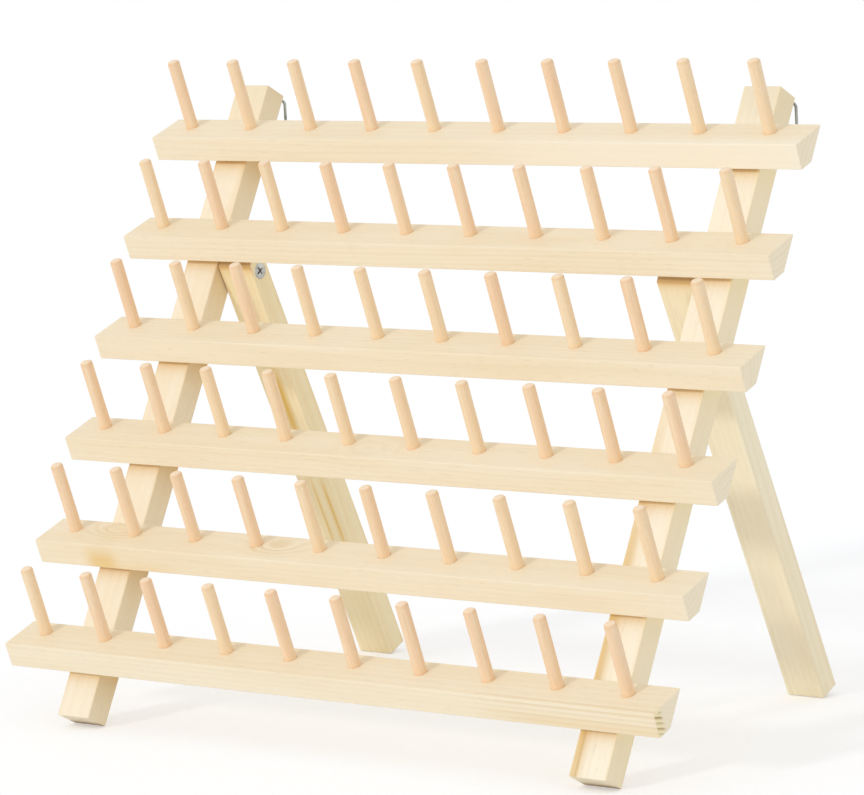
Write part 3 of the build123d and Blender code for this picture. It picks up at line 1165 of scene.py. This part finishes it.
def makeStrap(name, side):
    half = strap["thickness"] / 2
    middle = ring["wire"] + ring["gap"] + half  # the metal's own middle line, round the wire
    corner, full = strap["corner"], strap["width"] / 2
    stations = []
    for step in range(strap["cornerSteps"] + 1):  # the rounded lower end
        turn = pi / 2 * step / strap["cornerSteps"]
        up, wide = corner * (1 - cos(turn)) - strap["length"], full - corner + corner * sin(turn)
        stations.append((up, -middle, 0.0, wide))
    stations.append((-middle, -middle, 0.0, full))
    for step in range(strap["curlSteps"] + 1):
        turn = radians(strap["curl"]) * step / strap["curlSteps"]
        stations.append((middle * sin(turn), -middle * cos(turn), turn, full))
    shape = bmesh.new()
    rings = []
    for up, out, turn, wide in stations:
        outward = Vector((sin(turn), -cos(turn)))  # away from the wire
        corners = ((-wide, -half), (wide, -half), (wide, half), (-wide, half))
        places = [Vector((across, up + outward.x * lift, out + outward.y * lift)) for across, lift in corners]
        rings.append([shape.verts.new(place) for place in places])
    skin(shape, rings)
    roundArrises(shape, 60, strap["ease"], 2)
    mesh = meshOf(f"{name}HangerStrap", shape)
    smoothen(mesh, 40)
    mesh.transform(backward(eyeAt(side)))
    keep(blank(f"{name}HangerStrapPlate", mesh, nickel), "frame", f"{name}_hanger_strap")


def makeRing(name, side):
    half, corner = ring["width"] / 2, ring["corner"]
    path = [(ring["seam"] / 2, 0), (half - corner, 0)]
    path += arc((half - corner, -corner), corner, 90, 0, 8)[1:]
    path += arc((0, half - ring["height"]), half, 0, -180, 30)
    path += arc((corner - half, -corner), corner, 180, 90, 8)
    path += [(-ring["seam"] / 2, 0)]
    around = [2 * pi * step / ring["facets"] for step in range(ring["facets"])]
    shape = bmesh.new()
    rings = []
    for index, (x, z) in enumerate(path):
        before = Vector(path[max(index - 1, 0)])
        after = Vector(path[min(index + 1, len(path) - 1)])
        run = (after - before).normalized()
        spokes = [Vector((run.y * cos(angle), sin(angle), -run.x * cos(angle))) for angle in around]
        rings.append([shape.verts.new(Vector((x, 0, z)) + ring["wire"] * spoke) for spoke in spokes])
    skin(shape, rings)
    mesh = meshOf(f"{name}WireRing", shape)
    smoothen(mesh, 50)
    mesh.transform(Matrix.Translation(eyeAt(side)))
    keep(blank(f"{name}WireRing", mesh, nickel), f"{name}_ring", f"{name}_hanging_ring")


hangerBlank = roundHead("hangerScrewBlank", hangerScrew, strap["thickness"] + hangerScrew["bite"])
for name, side in sides.items():
    makeStrap(name, side)
    makeRing(name, side)
    spot = eyeAt(side) - outOfBack * (ring["wire"] + ring["gap"]) - upUpright * hangerScrew["drop"]
    screw = copiesInARow(f"{name}HangerScrew", hangerBlank, 1, Vector(), backward(spot), 90 + side, nickel)
    keep(screw, "frame", f"{name}_hanger_screw")
bpy.data.objects.remove(hangerBlank)
print("hangers made")


# Floor, light and camera

studio = {
    "floorSize": 8.0,
    "floorTint": (0.9, 0.908, 0.925, 1.0),
    "floorGlow": 2.9,
    "floorGlowShare": 0.1,
    "white": (1.0, 1.0, 1.0, 1.0),
    "worldLight": 0.8,
    "keyStrength": 0.72,
    "keySoftness": radians(6.0),
    "keyHeight": radians(20.0),  # above the floor
    "keyLeft": radians(14.0),  # of the front
}


def sceneryRays(graph):  # camera, mirror and clear rays see the pale background
    path = graph.add("ShaderNodeLightPath").socket.node
    seen = Tap(graph, path.outputs["Is Camera Ray"])
    for label in ("Is Glossy Ray", "Is Transmission Ray"):
        seen = seen.to("MAXIMUM", Tap(graph, path.outputs[label]))
    return seen


def makeWorld():
    world = bpy.data.worlds.new("softStudio")
    bpy.context.scene.world = world
    world.use_nodes = True
    world.node_tree.nodes.clear()
    graph = Graph(world.node_tree)
    strength = studio["worldLight"] + sceneryRays(graph) * (1 - studio["worldLight"])
    sky = graph.add("ShaderNodeBackground", {}, {"Color": studio["white"], "Strength": strength})
    graph.add("ShaderNodeOutputWorld", {}, {"Surface": sky})


def makeFloor():
    half = studio["floorSize"] / 2
    mesh = bpy.data.meshes.new("floor")
    corners = [(-half, -half, 0), (half, -half, 0), (half, half, 0), (-half, half, 0)]
    mesh.from_pydata(corners, [], [(0, 1, 2, 3)])
    material, graph = surface("paleFloor")
    matt = graph.add("ShaderNodeBsdfDiffuse", {}, {"Color": studio["floorTint"]})
    glow = graph.add("ShaderNodeEmission", {}, {"Color": studio["white"], "Strength": studio["floorGlow"]})
    share = sceneryRays(graph) * studio["floorGlowShare"]
    both = graph.add("ShaderNodeMixShader", {}, {0: share, 1: matt, 2: glow})
    graph.add("ShaderNodeOutputMaterial", {}, {"Surface": both})
    blank("floor", mesh, material)


def makeKey():
    lamp = bpy.data.lights.new("key", "SUN")
    lamp.energy = studio["keyStrength"]
    lamp.angle = studio["keySoftness"]
    rise, left = studio["keyHeight"], studio["keyLeft"]
    way = Vector((-sin(left) * cos(rise), -cos(left) * cos(rise), sin(rise)))
    blank("key", lamp).matrix_world = way.to_track_quat("Z", "Y").to_matrix().to_4x4()


view = {
    "lookAt": Vector((0.00078, -0.02146, -0.05664)),  # from the middle of the legs' pivots
    "distance": 2.1614,
    "yaw": radians(38.387),  # round to the rack's right
    "pitch": radians(8.055),  # down
    "roll": radians(-3.087),
    "lens": 183.52,
    "sensor": 36.0,
}


def makeCamera():
    yaw, pitch, roll = view["yaw"], view["pitch"], view["roll"]
    forward = Vector((-sin(yaw) * cos(pitch), cos(yaw) * cos(pitch), -sin(pitch)))
    right = Vector((cos(yaw), sin(yaw), 0))
    up = right.cross(forward)
    turnedRight = right * cos(roll) + up * sin(roll)
    turnedUp = up * cos(roll) - right * sin(roll)
    lens = bpy.data.cameras.new("camera")
    lens.lens = view["lens"]
    lens.sensor_width = view["sensor"]
    lens.clip_end = 50
    camera = blank("camera", lens)
    spot = pivot + view["lookAt"] - forward * view["distance"]
    camera.matrix_world = placing(spot, turnedRight, turnedUp, -forward)
    bpy.context.scene.camera = camera


makeWorld()
makeFloor()
makeKey()
makeCamera()
bpy.context.scene.view_settings.view_transform = "Standard"
print("studio lit")
